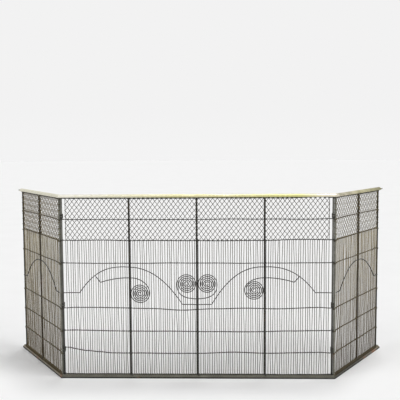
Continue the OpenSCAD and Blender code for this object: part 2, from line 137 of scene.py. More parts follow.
# Places: from a panel's own frame to the shared frame, both in millimetres


def centre_place(p):
    return p - np.array([0, ORIGIN_Y, 0])


def right_place(p):
    c, s = math.cos(WING_TURN), math.sin(WING_TURN)
    x, y, z = p[..., 0], p[..., 1], p[..., 2]
    return np.stack([CORNER_X + c * x - s * y, s * x + c * y - ORIGIN_Y, z], axis=-1)


def left_place(p):
    return right_place(p) * np.array([-1, 1, 1])


PANELS = {
    "centre": {"place": centre_place, "posts": POSTS["centre"], "body": "centre"},
    "left": {"place": left_place, "posts": POSTS["wing"], "body": "left_wing"},
    "right": {"place": right_place, "posts": POSTS["wing"], "body": "right_wing"},
}


def bays(panel):
    """The places of the vertical wires of each bay of a panel."""
    posts = PANELS[panel]["posts"]
    made = []
    for i, (a, b) in enumerate(zip(posts, posts[1:])):
        start, end = BESIDE_UPRIGHT, WIRE_PITCH
        if panel == "centre":
            start = CORNER_GAP if i == 0 else start
            end = CORNER_GAP if i == len(posts) - 2 else end
        elif i == 0:
            start = WIRE_PITCH
        wires = np.linspace(a + start, b - end, round((b - end - a - start) / WIRE_PITCH) + 1)
        if panel != "centre" and i == 0:
            wires = np.append(wires, b - BESIDE_UPRIGHT)
        made.append(wires)
    return made


def lattice_columns(panel):
    """The lattice's columns, one grid right across the panel."""
    posts = PANELS[panel]["posts"]
    edge = CORNER_GAP if panel == "centre" else 0
    first, last = posts[0] + edge, posts[-1] - edge
    return np.linspace(first, last, round((last - first) / WIRE_PITCH) + 1)


def nearest_upright(panel, x):
    return min(PANELS[panel]["posts"], key=lambda post: abs(x - post))


# Smooth changes


def ease(t):
    """From 0 to 1 with a gentle start and end."""
    t = np.clip(t, 0, 1)
    return t * t * (3 - 2 * t)


def ease_through(knots, xs):
    """A smooth line through a few knots [place, value]."""
    knots = np.array(knots, float)
    i = np.clip(np.searchsorted(knots[:, 0], xs, side="right") - 1, 0, len(knots) - 2)
    t = ease((xs - knots[i, 0]) / (knots[i + 1, 0] - knots[i, 0]))
    return knots[i, 1] * (1 - t) + knots[i + 1, 1] * t


# Round wires

# A direction that no wire starts along, from which the first ring of its tube is turned
ASKEW = (0.31, 0.9, 0.17)


def sweep(path, radius, sides=6):
    """A closed tube of quads along path, in the panel's frame: (points, faces)."""
    path = np.asarray(path, float)
    n = len(path)
    tangent = np.gradient(path, axis=0)
    tangent /= np.linalg.norm(tangent, axis=1, keepdims=True)
    normal = np.empty_like(path)
    side = np.cross(tangent[0], ASKEW)
    for i in range(n):
        side = side - side.dot(tangent[i]) * tangent[i]
        side /= np.linalg.norm(side)
        normal[i] = side
    turn = 2 * math.pi * np.arange(sides) / sides
    across = np.cross(tangent, normal)
    rings = path[:, None] + radius * (
        np.cos(turn)[None, :, None] * normal[:, None] + np.sin(turn)[None, :, None] * across[:, None]
    )
    a = (np.arange(n - 1)[:, None] * sides + np.arange(sides)[None]).ravel()
    b = (np.arange(n - 1)[:, None] * sides + (np.arange(sides)[None] + 1) % sides).ravel()
    walls = np.stack([a, b, b + sides, a + sides], axis=1)
    fan = np.array([[0, k, k + 1, k + 2] for k in range(1, sides - 2, 2)])
    caps = np.concatenate([fan[:, ::-1], fan + (n - 1) * sides])
    return rings.reshape(-1, 3), np.concatenate([walls, caps])


def join(parts):
    """Several tubes as one: (points, faces)."""
    points, faces, base = [], [], 0
    for p, f in parts:
        points.append(p)
        faces.append(f + base)
        base += len(p)
    return np.concatenate(points), np.concatenate(faces)


def wire_piece(name, panel, parts, material, nodes=()):
    """One object of several tubes, riding on the panel's body."""
    points, faces = join(parts)
    points = PANELS[panel]["place"](points) * MM
    if panel == "left":
        faces = faces[:, ::-1]
    mesh = bpy.data.meshes.new(name)
    mesh.vertices.add(len(points))
    mesh.vertices.foreach_set("co", points.ravel())
    mesh.loops.add(faces.size)
    mesh.loops.foreach_set("vertex_index", np.ascontiguousarray(faces).ravel())
    mesh.polygons.add(len(faces))
    mesh.polygons.foreach_set("loop_start", np.arange(0, faces.size, 4))
    mesh.polygons.foreach_set("use_smooth", np.ones(len(faces), bool))
    mesh.update(calc_edges=True)
    mesh.materials.append(material)
    obj = bpy.data.objects.new(name, mesh)
    bpy.context.scene.collection.objects.link(obj)
    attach(obj, PANELS[panel]["body"])
    if nodes:
        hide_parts(*nodes)


# Cross wires: two strands twisted round each other, one before and one behind each wire

ROW_STEPS = 6
ROW_DEPTH = WIRE_R + STRAND_R
BAND_ROW_DEPTH = 2 * WIRE_R + STRAND_R
POST_DEPTH = UPRIGHT_R + STRAND_R + POST_GAP

# The strands spread round an upright from this far, over this length, and turn this squarely there
SPREAD_FROM = 8.0
SPREAD_L = 4.5
SQUARENESS = 0.45

# Height of a cross wire's loop round a corner upright, and that of the one laid over a hinge
LOOP_RISE = 1.25
OVER_HINGE_GAP = 2.4
OVER_HINGE = ROW_HALF + HINGE_ROW_GAP + HINGE_H + OVER_HINGE_GAP
OVER_HINGE_ROW = 1

# How firmly a cross wire keeps its loop's height, by its distance from the corner upright
LOOP_HOLD = [[0, 1], [6, 1], [60, 0]]

# A slow and a quick waver of every cross wire: [rise, length, shift from row to row]
WAVERS = [[0.5, 83, 1.7], [0.35, 31, 2.3]]

# How far the hand-laid cross wires of the centre panel stray from level, as [x, rise] by row
STRAYS = {
    1: [
        [-552, 23.5], [-505, 16], [-455, 9], [-405, 4], [-350, 0],
        [-10, -2.5], [150, 3.5], [300, 0], [552, 4],
    ],
    2: [[-552, 3], [-455, 1.5], [-265, -2.5], [270, -4], [370, -1], [552, 1]],
    3: [
        [-552, 5], [-455, 4], [-310, 1], [-190, -1.5], [-60, -7],
        [77, -2], [175, 0], [320, -2], [552, 6],
    ],
    6: [[-552, 1], [-405, 2], [-262, -1], [270, -1.5], [440, 3], [552, 3]],
    8: [[-552, 0], [370, 0], [552, 4]],
}


def row_level(panel, row, xs):
    """How far a cross wire strays from level, with its end loops kept apart at the corners."""
    level = sum(rise * np.sin(xs / length + shift * row) for rise, length, shift in WAVERS)
    posts = PANELS[panel]["posts"]
    if panel == "centre":
        if row in STRAYS:
            level = level + ease_through(STRAYS[row], xs)
        edge, loop = np.minimum(xs - posts[0], posts[-1] - xs), LOOP_RISE
        if row == OVER_HINGE_ROW:
            loop = np.where(xs < 0, OVER_HINGE, LOOP_RISE)
    else:
        edge, loop = np.abs(xs - posts[0]), -LOOP_RISE
    held = ease_through(LOOP_HOLD, np.maximum(edge, 0))
    return level * (1 - held) + loop * held


def members(panel):
    """What a cross wire passes: (place, reach on the left, reach on the right, is an upright)."""
    wires = [x for xs in bays(panel) for x in xs]
    made = [(x, 0, 0, False) for x in wires if abs(x - nearest_upright(panel, x)) > NEAR_UPRIGHT]
    for post in PANELS[panel]["posts"]:
        left, right = (
            BESIDE_UPRIGHT * any(abs(x - post - way * BESIDE_UPRIGHT) < SAME_PLACE for x in wires)
            for way in (-1, 1)
        )
        made.append((post, left, right, True))
    return sorted(made)


def cross_wire(panel, z, row, depth):
    """Both strands of one cross wire, which meet round the first and the last upright."""
    held = members(panel)
    reach = UPRIGHT_R + STRAND_R + WIRE_GAP
    places = [place + (right - left) / 2 for place, left, right, _ in held]
    knots = [held[0][0] - reach, *places, held[-1][0] + reach]
    last_step = len(held) - 0.5
    steps = np.arange(-0.5, last_step + 1e-6, 1 / ROW_STEPS)
    xs = np.interp(steps, [-0.5, *range(len(held)), last_step], knots)
    spans = np.array([[place - left, place + right] for place, left, right, post in held if post])
    outside = np.maximum(spans[:, 0] - xs[:, None], xs[:, None] - spans[:, 1])
    near = np.min(np.maximum(outside, 0), axis=1)
    spread = ease((SPREAD_FROM - near) / SPREAD_L)
    c, s = np.cos(steps * math.pi), np.sin(steps * math.pi)
    y = (depth + (POST_DEPTH - depth) * spread) * np.sign(c) * np.abs(c) ** (1 - SQUARENESS * spread)
    ends = np.clip(np.minimum(steps + 0.5, last_step - steps) * 2, 0, 1)
    dz = (ROW_HALF - STRAND_R) * s * ends
    level = z + row_level(panel, row, xs)
    return [
        sweep(np.stack([xs, y * side, level + dz * side], axis=1), STRAND_R)
        for side in (-1, 1)
    ]


def end_coil(panel, post, z):
    """A cross wire's end, wound upwards once on the centre panel and down twice on a wing."""
    turns, way = (1.0, 1) if panel == "centre" else (2.0, -1)
    rise = way * (2 * COIL_R + COIL_GAP)
    a = np.radians(np.arange(0, 360 * turns + 1, 30))
    radius = UPRIGHT_R + COIL_R + COIL_GAP
    outer = 0 if post == PANELS[panel]["posts"][-1] else math.pi
    zs = z + rise * (1 + a / (2 * math.pi)) - rise / 2
    path = np.stack([post + radius * np.cos(a + outer), radius * np.sin(a + outer), zs], axis=1)
    return sweep(path, COIL_R)


def cross_wires(panel):
    """All the cross wires of a panel, with their ends wound on the outermost uprights."""
    posts = PANELS[panel]["posts"]
    parts = []
    for row, z in enumerate(ROW_ZS):
        if row == MISSING_ROW:
            continue
        parts += cross_wire(panel, z, row, ROW_DEPTH if row < FIELD_ROWS else BAND_ROW_DEPTH)
        if 0 < row < len(ROW_ZS) - 1:
            for post in (posts[0], posts[-1]):
                level = z + float(row_level(panel, row, np.array([post]))[0])
                parts.append(end_coil(panel, post, level))
    return parts


# Vertical wires of one bay, which start over the base bar and end over a cross wire: the field's
# highest, or for the centre panel's two outermost wires the one under the upper bar

STEPS_PER_ROW = 4
WRAP_Y = BAR_W / 2 + WIRE_R + WIRE_GAP

# A wire's front foot as [y, z over the base bar, share of the wire's stray], and the height over
# the lowest cross wire from which its mesh part is drawn
FOOT = [
    [-WRAP_Y, 0.4 - BASE_BAR_H, 0],
    [-WRAP_Y, -1.0, 0],
    [-WRAP_Y + 0.5, 0.5, 0],
    [-3.7, 2.6, 0],
    [-2.1, 4.0, 0.5],
    [-0.5, 6.0, 1],
]
MESH_FROM = 6.0

# The other leg of its wrap, behind the bar, as [x, y, z over the base bar]
BACK_LEG = [
    [1.9, WRAP_Y, 0.4 - BASE_BAR_H],
    [1.9, WRAP_Y, -1.0],
    [1.9, WRAP_Y - 0.5, 0.5],
    [1.9, 3.7, 2.0],
    [1.7, 2.2, 3.2],
]

# Its top as [y, z over the last cross wire], and the bend behind that one, which those two lack
TOP = [[0, -3], [0.2, 1.2]]
TOP_BEND = [[1.5, 2.4], [3.3, 1.2], [3.9, -1.4]]

# Spread and limit of the wires' stray at the cross wires, the spread of those that run true because
# they are outermost or at an upright, and the spread of all in depth
STRAY = 1.0
STRAY_LIMIT = 2.3
TRUE_STRAY = 0.12
DEPTH_STRAY = 0.12

# One wire, left of the second upright, leans: how far it strays at the cross wire over the foot's
LEAN = -4.5


def vertical_wire(x, levels, strays, top):
    """One wire and the back leg of its wrap, held with its strays at the given levels."""
    zs = np.concatenate(
        [np.linspace(a, b, STEPS_PER_ROW, endpoint=False) for a, b in zip(levels, levels[1:])]
    )
    zs = zs[zs > FIELD_FOOT + MESH_FROM]
    drift = ease_through(list(zip(levels, strays)), zs)
    foot = [[x + strays[0] * share, y, BASE_BAR_TOP + z] for y, z, share in FOOT]
    body = np.stack([x + drift, rng.normal(0, DEPTH_STRAY, len(zs)), zs], axis=1)
    end = [[x + strays[-1], y, levels[-1] + z] for y, z in top]
    back_leg = [[x + dx, y, BASE_BAR_TOP + z] for dx, y, z in BACK_LEG]
    return [sweep(np.concatenate([foot, body, end]), WIRE_R), sweep(back_leg, WIRE_R)]


def vertical_wires(panel, index):
    """The wires of one bay: those of the open mesh, and those right beside an upright."""
    xs = bays(panel)[index]
    posts = PANELS[panel]["posts"]
    rows = [z for row, z in enumerate(ROW_ZS) if row != MISSING_ROW]
    mesh, at_upright = [], []
    for x in xs:
        from_edge = min(x - posts[0], posts[-1] - x)
        outermost = panel == "centre" and from_edge < CORNER_GAP + SAME_PLACE
        nearest = nearest_upright(panel, x)
        beside = abs(x - nearest) < NEAR_UPRIGHT
        spread = TRUE_STRAY if outermost or beside else STRAY
        strays = np.clip(rng.normal(0, spread, len(rows)), -STRAY_LIMIT, STRAY_LIMIT)
        if beside:
            strays = np.abs(strays) * np.sign(x - nearest)
        elif panel == "centre" and index == 0 and x == xs[-1]:
            strays[1] = LEAN
        held = len(rows) if outermost else len(rows) - 2
        top = TOP if outermost else TOP + TOP_BEND
        wire = vertical_wire(x, rows[:held], strays[:held], top)
        (at_upright if beside else mesh).extend(wire)
    return mesh, at_upright


# Lattice wires: each climbs one column a row, woven with those that lean the other way. It passes
# in front of or behind an inner upright and turns back round the panel's edge.

LATTICE_ROWS = 2 * BAND_HALVES
LATTICE_STEP_Z = BAND_H / BAND_HALVES
WEAVE_DEPTH = 1.05
SHIFT = 0.55
SHIFT_LIMIT = 1.2

# Near an inner upright a wire keeps to its own side: how near, how deep and in how many steps
ALONGSIDE = 1.3 * WIRE_PITCH
ALONGSIDE_Y = 1.1
ALONGSIDE_STEPS = 4

# How firmly it is lifted over the upright, by its distance from the axis
OVER_UPRIGHT = [[0, 1], [4.4, 1], [10.5, 0]]

# Its turn round the edge: angles, lift and rise. Its reach where a band starts or ends
TURN_ANGLES = np.radians(np.linspace(62, 298, 7))
TURN_LIFT = 1.1
TURN_RISE = 1.6
BAND_END_REACH = 1.3
BAND_END_Y = 0.9

# Its turn before a hinge eye: the bend's size, and the margin over and under the eye's ring
EYE_BEND = 0.6
EYE_BEND_Z = 0.9
EYE_MARGIN = 2


def in_eye(z):
    """Whether a height is at the ring of a hinge eye, the middle third of a hinge."""
    reach = HINGE_H / 6 + EYE_MARGIN
    return any(abs(z - low - HINGE_H / 2) < reach for low in HINGE_ZS)


def is_alongside(panel, x):
    """Whether a place is so near to an inner upright that the wires there keep to their side."""
    return min(abs(x - post) for post in PANELS[panel]["posts"][1:-1]) < ALONGSIDE


def past_uprights(panel, points, side):
    """Lifts a wire over the inner uprights that it crosses, on one side."""
    points = np.array(points)
    near = np.min(np.abs(points[:, :1] - np.array(PANELS[panel]["posts"][1:-1])[None]), axis=1)
    over = ease_through(OVER_UPRIGHT, near)
    points[:, 1] += (side * (UPRIGHT_R + WIRE_R + WIRE_GAP) - points[:, 1]) * over
    return points


def before_eye(edge, towards, side, z):
    """Points of a wire that turns back before a hinge eye, which leaves no room behind it."""
    out, y = edge + towards * EYE_BEND, side * EYE_BEND
    return [[out, y, z - EYE_BEND_Z], [edge, 0, z], [out, -y, z + EYE_BEND_Z]]


def turn_round(x, radius, towards, side, z):
    """Points of a wire that comes from the bay, wraps round the edge and goes back."""
    return [
        [
            x + towards * radius * math.cos(a),
            side * radius * math.sin(a),
            z + TURN_LIFT * towards + (a / math.pi - 1) * TURN_RISE,
        ]
        for a in TURN_ANGLES
    ]


def edge_turn(panel, x, towards, side, z, at_band_end):
    """Points of a lattice wire at the panel's edge, from where it goes on towards the bay."""
    radius = LATTICE_R[panel]
    edge_r = radius if panel == "centre" else UPRIGHT_R
    if panel != "centre" and towards > 0 and in_eye(z):
        return before_eye(x + towards * (COLLAR_R + radius + POST_GAP), towards, side, z)
    if at_band_end:
        return [[x + towards * (edge_r + BAND_END_REACH), side * BAND_END_Y, z]]
    return turn_round(x, edge_r + radius + COIL_GAP, towards, side, z)


def climb(panel, x, ahead, z, dx):
    """Points between one crossing, which is off its place by dx, and the next."""
    if not is_alongside(panel, (x + ahead) / 2):
        return [[(x + ahead) / 2, 0, z + LATTICE_STEP_Z / 2]]
    side = math.copysign(ALONGSIDE_Y, ahead - x)
    return [
        [x + dx * (1 - t) + (ahead - x) * t, side, z + LATTICE_STEP_Z * t]
        for t in np.arange(1, ALONGSIDE_STEPS + 1) / (ALONGSIDE_STEPS + 1)
    ]


def lattice_wire(panel, columns, shift, column, way):
    """One wire up through both bands, from a column and at first the given way."""
    radius = LATTICE_R[panel]
    going, points = way, []
    for j in range(LATTICE_ROWS + 1):
        x, z = columns[column], FIELD_TOP + j * LATTICE_STEP_Z
        side = going * (-1) ** j
        dx, dz = shift[column, j]
        if 0 < column < len(columns) - 1:
            y = (going if is_alongside(panel, x) else side) * radius * WEAVE_DEPTH
            points.append([x + dx, y, z + dz])
        else:
            dx = 0
            going = 1 if column == 0 else -1
            points += edge_turn(panel, x, going, side, z, j in (0, LATTICE_ROWS))
        if j < LATTICE_ROWS:
            points += climb(panel, x, columns[column + going], z, dx)
            column += going
    return sweep(past_uprights(panel, points, way), radius)


def lattice_wires(panel):
    """Both bands of diamonds: two wires from every second column, one each way."""
    columns = lattice_columns(panel)
    shift = rng.normal(0, SHIFT, (len(columns), LATTICE_ROWS + 1, 2))
    shift = np.clip(shift, -SHIFT_LIMIT, SHIFT_LIMIT)
    shift[:, [0, BAND_HALVES, LATTICE_ROWS], 1] = 0
    return [
        lattice_wire(panel, columns, shift, column, way)
        for column in range(0, len(columns), 2)
        for way in (-1, 1)
        if 0 <= column + way < len(columns)
    ]


# Wraps of the lattice wires' ends, three turns round the upper bar at every second column. The
# section is [y, z] down one side of the bar and under it.

WRAP_LOW_Z = TOP_BAR_FOOT - WIRE_R - WIRE_GAP
WRAP_HALF = [
    [WRAP_Y, BRASS_FLAT_Z + 0.6],
    [WRAP_Y, TOP_BAR_FOOT + 1.2],
    [WRAP_Y - 0.2, WRAP_LOW_Z + 1.2],
    [WRAP_Y - 1.0, WRAP_LOW_Z + 0.3],
    [3.6, WRAP_LOW_Z],
]
WRAP_SECTION = [(-y, z) for y, z in WRAP_HALF] + [(y, z) for y, z in reversed(WRAP_HALF)]
WRAP_SWAY = 0.25
WRAP_H = 6


def bar_wraps(panel):
    """The wraps of one panel, without the turns that an upright leaves no room for."""
    parts = []
    for x in lattice_columns(panel)[::2]:
        sway = rng.normal(0, WRAP_SWAY)
        for turn in (-1, 0, 1):
            at = x + turn * (2 * WIRE_R + COIL_GAP)
            if abs(at - nearest_upright(panel, at)) > BESIDE_UPRIGHT:
                path = [[at + sway * (z - WRAP_LOW_Z) / WRAP_H, y, z] for y, z in WRAP_SECTION]
                parts.append(sweep(path, WIRE_R))
    return parts


# Scroll wires, which follow the same rules as the CAD's. Heights are over the missing cross wire,
# whose place they take.

WAVE_CREST = 79
WAVE_FOOT = 77
WAVE_END = 28
WAVE_MIDDLE_L = 60
WAVE_END_L = 70
WAVE_LEFT_SHIFT = 20.0
WAVE_INNER_POWER = 2.35
WAVE_OUTER_POWER = 2.6
WAVE_END_PLACES = (12, 24, 36, 48, 58)
SPIRAL_R = 40.0
SPIRAL_TURNS = 5
SPIRAL_GAP = 2.0
SPIRAL_CORE = 2 * SCROLL_R
LEFT_SPIRAL_DROP = 31
RIGHT_SPIRAL_DROP = 17
SCROLL_CREST = 34.0
SCROLL_DIP = 15.0
SCROLL_DIP_X = 120.0
SCROLL_HOOK = 20.0
HOOK_UNDER_WAVE = 1.6 * SCROLL_R + SEAT_GAP
MIDDLE_RISE = 8.0
MIDDLE_DROP = 53.0
MIDDLE_POWER = 2.6
ARCH_CREST = 73
ARCH_FOOT = 30
ARCH_END_L = 45
ARCH_POWER = 2.2

# Points along each stretch, and in a turn of a spiral
SPIRAL_STEPS = 44
CURVE_STEPS = 60
STRAIGHT_STEPS = 12
ARCH_END_STEPS = 6
HOOK_STEPS = 6
RISE_STEPS = 30
TURN_STEPS = 24
LOOP_STEPS = 26

# Depth before the mesh and over an upright, and how far from its axis the wire is raised
SCROLL_Y = WIRE_R + SEAT_GAP + SCROLL_R
SCROLL_OVER_Y = UPRIGHT_R + SEAT_GAP + SCROLL_R
OVER_FLAT = UPRIGHT_R + 2 * SCROLL_R
OVER_RAMP = 16.0


def arch(u, power):
    return 1 - np.abs(u) ** power


def laid(flat, posts):
    """Lays a flat path [x, z] on the wires, raised where it crosses an upright."""
    flat = np.asarray(flat, float)
    near = np.min(np.abs(flat[:, :1] - np.array(posts)[None]), axis=1)
    over = (1 + np.cos(np.pi * np.clip((near - OVER_FLAT) / OVER_RAMP, 0, 1))) / 2
    y = -SCROLL_Y - (SCROLL_OVER_Y - SCROLL_Y) * over
    return np.stack([flat[:, 0], y, SCROLL_Z + flat[:, 1]], axis=1)


def wave_outer_z(dx, shift):
    """Height of the wave's outer half, by the distance from its upright."""
    u = (dx - shift) / (CENTRE_BAY_W - WAVE_END_L - shift)
    return (WAVE_CREST + WAVE_END) * arch(u, WAVE_OUTER_POWER) - WAVE_END


def half_wave(shift):
    """From the middle to the corner upright, with the crest the given shift past its upright."""
    inner, outer = CENTRE_BAY_W - WAVE_MIDDLE_L + shift, CENTRE_BAY_W - WAVE_END_L - shift
    flat = [[WAVE_MIDDLE_L * t / STRAIGHT_STEPS, -WAVE_FOOT] for t in range(STRAIGHT_STEPS)]
    for u in 1 - np.arange(CURVE_STEPS) / CURVE_STEPS:
        z = (WAVE_CREST + WAVE_FOOT) * arch(u, WAVE_INNER_POWER) - WAVE_FOOT
        flat.append([WAVE_MIDDLE_L + inner * (1 - u), z])
    for dx in shift + outer * np.arange(CURVE_STEPS + 1) / CURVE_STEPS:
        flat.append([CENTRE_BAY_W + dx, wave_outer_z(dx, shift)])
    end_x, stop = 2 * CENTRE_BAY_W - WAVE_END_L, WAVE_END_L - UPRIGHT_R - SEAT_GAP
    flat += [[end_x + t, -WAVE_END] for t in (*WAVE_END_PLACES, stop)]
    return np.array(flat)


def wave_path():
    return np.concatenate([half_wave(WAVE_LEFT_SHIFT)[:0:-1] * [-1, 1], half_wave(0)])


def spiral(centre, start):
    """A flat spiral inwards from the given angle."""
    steps = int(SPIRAL_TURNS * SPIRAL_STEPS)
    i = np.arange(steps + 1)
    a = np.radians(start) + 2 * np.pi * i / SPIRAL_STEPS
    r = SPIRAL_R - (SPIRAL_R - SPIRAL_CORE) * i / steps
    return np.stack([centre[0] + r * np.cos(a), centre[1] + r * np.sin(a)], axis=1)


def outer_scroll(drop, shift):
    """From its hook under the wave over the dip and the crest, round and into its spiral."""
    hook_at = SCROLL_DIP_X + SCROLL_HOOK
    slope = math.atan(wave_outer_z(hook_at, shift) - wave_outer_z(hook_at - 1, shift))
    hook_z = wave_outer_z(hook_at, shift) - HOOK_UNDER_WAVE / math.cos(slope)
    t = 1 - np.arange(HOOK_STEPS) / HOOK_STEPS
    start = np.stack([SCROLL_DIP_X + SCROLL_HOOK * t, SCROLL_DIP + (hook_z - SCROLL_DIP) * t], axis=1)
    u = 1 - np.arange(RISE_STEPS) / RISE_STEPS
    rise = np.stack([SCROLL_DIP_X * u, SCROLL_CREST - (SCROLL_CREST - SCROLL_DIP) * u * u], axis=1)
    t = np.radians(90 * np.arange(TURN_STEPS) / TURN_STEPS)
    turn_x = -(2 * SPIRAL_R + SPIRAL_GAP) * np.sin(t)
    turn = np.stack([turn_x, (SCROLL_CREST + drop) * np.cos(t) - drop], axis=1)
    return np.concatenate([start, rise, turn, spiral((-SPIRAL_R - SPIRAL_GAP, -drop), 180)])


def middle_scroll():
    """Two spirals, joined by a loop that hangs below them."""
    loop_r = 2 * SPIRAL_R + SPIRAL_GAP
    t = np.radians(90 * np.arange(LOOP_STEPS) / LOOP_STEPS)
    x = loop_r * np.sin(t) ** (2 / MIDDLE_POWER)
    z = MIDDLE_RISE - (MIDDLE_RISE + MIDDLE_DROP) * np.cos(t) ** (2 / MIDDLE_POWER)
    half = np.concatenate([np.stack([x, z], axis=1), spiral((SPIRAL_R + SPIRAL_GAP, MIDDLE_RISE), 0)])
    return np.concatenate([half[:0:-1] * [-1, 1], half])


def wing_arch():
    first, last = POSTS["wing"][0], POSTS["wing"][-1]
    middle, end = (first + last) / 2, (last - first) / 2 - ARCH_END_L
    stop = (last - first) / 2 - UPRIGHT_R - SEAT_GAP
    step = (stop - end) / ARCH_END_STEPS
    u = np.arange(-CURVE_STEPS, CURVE_STEPS + 1) / CURVE_STEPS
    z = (ARCH_CREST + ARCH_FOOT) * arch(u, ARCH_POWER) - ARCH_FOOT
    curve = np.stack([middle + end * u, z], axis=1)
    lead = [[middle - stop + t * step, -ARCH_FOOT] for t in range(ARCH_END_STEPS)]
    tail = [[middle + end + t * step, -ARCH_FOOT] for t in range(1, ARCH_END_STEPS + 1)]
    return np.concatenate([lead, curve, tail])


# Materials

BLACK = (0, 0, 0)
WHITE = (1, 1, 1)


class Nodes:
    """The node tree of a material or of the world, under construction."""

    def __init__(self, owner, output, coordinates):
        owner.use_nodes = True
        self.owner = owner
        self.tree = owner.node_tree
        self.tree.nodes.clear()
        self.out = self.add(output)
        self.place = self.add("ShaderNodeTexCoord").outputs[coordinates]
        split = self.add("ShaderNodeSeparateXYZ")
        self.link(self.place, split.inputs["Vector"])
        self.axes = split.outputs

    def add(self, kind, **values):
        node = self.tree.nodes.new(kind)
        for key, value in values.items():
            setattr(node, key, value)
        return node

    def link(self, a, b):
        self.tree.links.new(a, b)

    def noise(self, scale, detail=4.0, roughness=0.55, stretch=None):
        node = self.add("ShaderNodeTexNoise")
        node.inputs["Scale"].default_value = scale
        node.inputs["Detail"].default_value = detail
        node.inputs["Roughness"].default_value = roughness
        source = self.place
        if stretch:
            mapping = self.add("ShaderNodeMapping")
            mapping.inputs["Scale"].default_value = stretch
            self.link(source, mapping.inputs["Vector"])
            source = mapping.outputs["Vector"]
        self.link(source, node.inputs["Vector"])
        return node.outputs["Fac"]

    def ramp(self, source, start, end):
        """Colours from one stop [position, colour] to the other."""
        node = self.add("ShaderNodeValToRGB")
        for element, (at, colour) in zip(node.color_ramp.elements, (start, end)):
            element.position = at
            element.color = (*colour, 1)
        self.link(source, node.inputs["Fac"])
        return node.outputs["Color"]

    def mix(self, factor, a, b):
        node = self.add("ShaderNodeMix", data_type="RGBA")
        self.link(factor, node.inputs["Factor"])
        for socket, value in ((node.inputs["A"], a), (node.inputs["B"], b)):
            if isinstance(value, tuple):
                socket.default_value = (*value, 1)
            else:
                self.link(value, socket)
        return node.outputs["Result"]

    def span(self, source, low, high, out_low=0.0, out_high=1.0):
        """Brings what runs from low to high to the range that comes out."""
        node = self.add("ShaderNodeMapRange")
        node.inputs["From Min"].default_value = low
        node.inputs["From Max"].default_value = high
        node.inputs["To Min"].default_value = out_low
        node.inputs["To Max"].default_value = out_high
        self.link(source, node.inputs["Value"])
        return node.outputs["Result"]

    def larger(self, a, b):
        node = self.add("ShaderNodeMath", operation="MAXIMUM")
        self.link(a, node.inputs[0])
        self.link(b, node.inputs[1])
        return node.outputs[0]

    def bump(self, height, strength, distance):
        node = self.add("ShaderNodeBump")
        node.inputs["Strength"].default_value = strength
        node.inputs["Distance"].default_value = distance
        self.link(height, node.inputs["Height"])
        return node.outputs["Normal"]

    def principled(self, colour, roughness, metallic, normal=None):
        node = self.add("ShaderNodeBsdfPrincipled")
        self.link(colour, node.inputs["Base Color"])
        self.link(roughness, node.inputs["Roughness"])
        node.inputs["Metallic"].default_value = metallic
        if normal is not None:
            self.link(normal, node.inputs["Normal"])
        self.link(node.outputs["BSDF"], self.out.inputs["Surface"])
        return node


def material_nodes(name):
    return Nodes(bpy.data.materials.new(name), "ShaderNodeOutputMaterial", "Object")


def stretched(m, tone, stretches):
    """Lays over a tone the stretches [tone, x where it is full, x where it is gone], in metres."""
    for other, full, gone in stretches:
        tone = m.mix(m.span(m.axes["X"], full, gone), other, tone)
    return tone


# Height where the low tone ends, and half the height over which a foot's tone fades, in metres
LOW_TO = 0.6
FOOT_FADE = 0.0015


def iron(name, dark, light, rust, rust_from, metallic=0.5, low=None, foot=None, stretches=()):
    """Old forged iron: dull, mottled, rusty where the mask runs high. Towards the floor it fades to
    the low tone, and its foot has a tone of its own, given with the foot's height in metres."""
    m = material_nodes(name)
    tone = m.ramp(m.noise(scale=34, detail=6), (0.32, dark), (0.68, light))
    tone = stretched(m, tone, stretches)
    if low:
        tone = m.mix(m.span(m.axes["Z"], 0.0, LOW_TO), low, tone)
    if foot:
        foot_tone, foot_z = foot
        above = m.span(m.axes["Z"], foot_z - FOOT_FADE, foot_z + FOOT_FADE)
        tone = m.mix(above, foot_tone, tone)
    spread = m.noise(scale=11, detail=7, roughness=0.66)
    patches = m.ramp(spread, (rust_from, BLACK), (rust_from + 0.12, WHITE))
    colour = m.mix(patches, tone, rust)
    rough = m.span(m.noise(scale=60, detail=5), 0.3, 0.7, 0.5, 0.74)
    normal = m.bump(m.noise(scale=900, detail=5, roughness=0.6), strength=0.35, distance=0.0004)
    m.principled(colour, rough, metallic, normal)
    return m.owner


def brass(name, bright, worn, tarnish, tarnish_from, stretches=()):
    """Polished brass gone soft, with tarnish that gathers in clouds and along the length."""
    m = material_nodes(name)
    streaks = m.noise(scale=90, detail=5, roughness=0.6, stretch=(0.12, 1, 1))
    tone = stretched(m, m.ramp(streaks, (0.35, worn), (0.65, bright)), stretches)
    spread = m.noise(scale=16, detail=7, roughness=0.62)
    clouds = m.ramp(spread, (tarnish_from, BLACK), (tarnish_from + 0.22, WHITE))
    colour = m.mix(clouds, tone, tarnish)
    rough = m.span(m.noise(scale=45, detail=5), 0.3, 0.7, 0.34, 0.52)
    grain = m.noise(scale=240, detail=4, roughness=0.5, stretch=(0.2, 1, 1))
    normal = m.bump(grain, strength=0.16, distance=0.0003)
    m.principled(colour, rough, 0.7, normal)
    return m.owner


# Feet: [tone, height] of the painted shade on the base rails at the floor, of the painted light on the
# centre panel's wires along the base bar, and of the wings' wires there
# Painted shade: the base rails are near black up to this height, standing in for the shade on their
# lower front face
BASE_FOOT_PAINTED_SHADE = ((0.008, 0.007, 0.005), 0.0057)
# Painted light: the centre panel's wires are much lighter where they wrap the base bar, standing in for
# the light on the bar's top
WIRE_FOOT_PAINTED_LIGHT = ((0.27, 0.265, 0.215), 0.0132)
WING_FEET = ((0.120, 0.105, 0.070), 0.0112)

